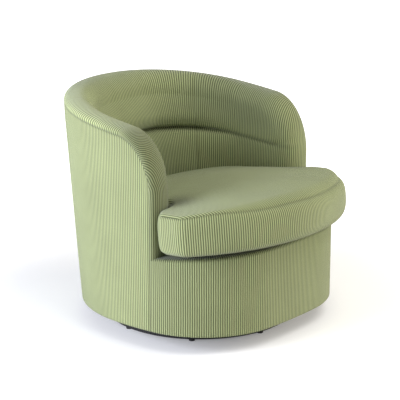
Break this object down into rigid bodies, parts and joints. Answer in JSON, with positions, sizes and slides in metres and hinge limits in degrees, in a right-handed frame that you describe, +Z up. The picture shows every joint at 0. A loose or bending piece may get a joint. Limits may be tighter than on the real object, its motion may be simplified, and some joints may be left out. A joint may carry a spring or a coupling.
{
  "type": "barrel swivel chair",
  "caption": "Upholstered barrel swivel chair with a wrap-round padded back, loose ear-shaped seat cushion and a low ring base on a ball-bearing swivel.",
  "frame": {"origin": "on the floor under the swivel axis, which is also the middle of the chair's plan box", "axes": "+Z up along the swivel axis, the sitter faces -Y, +X is to the sitter's left when facing the chair"},
  "size_m": [0.75, 0.8719, 0.7068],
  "materials": {
    "corduroy": "wide-wale corduroy, upright pile with a soft sheen",
    "deck_fabric": "plain cotton decking",
    "dust_cloth": "black non-woven cambric",
    "cushion_foam": "polyurethane foam",
    "felt": "needled felt",
    "webbing": "elastic webbing",
    "board": "pressed card panel",
    "plywood": "raw plywood",
    "base_wood": "plywood stained black",
    "base_black": "black powder coat",
    "glide_plastic": "black nylon",
    "zinc_steel": "zinc-plated pressed steel",
    "bearing_steel": "polished steel",
    "cage_plastic": "moulded nylon"
  },
  "bodies": {
    "base": {"base_ring": "base_wood", "glides": "glide_plastic", "cross_bars": "base_black", "lower_swivel_plate": "zinc_steel", "lower_plate_bolts": "zinc_steel", "lower_plate_nuts": "zinc_steel", "king_pin": "zinc_steel"},
    "bearing": {"ball_cage": "cage_plastic", "bearing_balls": "bearing_steel"},
    "chair": {"apron_cover": "corduroy", "apron_panel": "board", "arm_rail_left": "plywood", "arm_rail_right": "plywood", "back_rail": "plywood", "base_board": "plywood", "deck_cloth": "deck_fabric", "dust_cover": "dust_cloth", "lower_back_pad": "corduroy", "lower_left_pad": "corduroy", "lower_post_1": "plywood", "lower_post_2": "plywood", "lower_post_3": "plywood", "lower_post_4": "plywood", "lower_post_5": "plywood", "lower_post_6": "plywood", "lower_post_7": "plywood", "lower_post_8": "plywood", "lower_right_pad": "corduroy", "outside_cover_left": "corduroy", "outside_cover_right": "corduroy", "outside_panel_left": "board", "outside_panel_right": "board", "rim_roll": "corduroy", "seat_felt": "felt", "seat_frame": "plywood", "seat_straps_cross": "webbing", "seat_straps_long": "webbing", "tee_nuts": "zinc_steel", "upper_back_pad": "corduroy", "upper_left_pad": "corduroy", "upper_plate_bolts": "zinc_steel", "upper_right_pad": "corduroy", "upper_swivel_plate": "zinc_steel", "wall_rib_1": "plywood", "wall_rib_2": "plywood", "wall_rib_3": "plywood", "wall_rib_4": "plywood", "wall_rib_5": "plywood", "wall_rib_6": "plywood", "wall_rib_7": "plywood", "wall_strap_1": "webbing", "wall_strap_2": "webbing", "wall_strap_3": "webbing"},
    "cushion": {"cushion_core": "cushion_foam", "cushion_cover": "corduroy"}
  },
  "joints": [
    {"name": "swivel", "type": "hinge", "parent": "base", "child": "chair", "pos_m": [0, 0, 0.0491], "axis": [0, 0, 1], "continuous": true},
    {"name": "cage_roll", "type": "hinge", "parent": "base", "child": "bearing", "pos_m": [0, 0, 0.0491], "axis": [0, 0, 1], "continuous": true},
    {"name": "cushion_lift", "type": "slide", "parent": "chair", "child": "cushion", "axis": [0, 0, 1], "range_m": [0, 0.3]}
  ],
  "couplings": [
    {"joint": "cage_roll", "follows": "swivel", "ratio": 0.5}
  ]
}
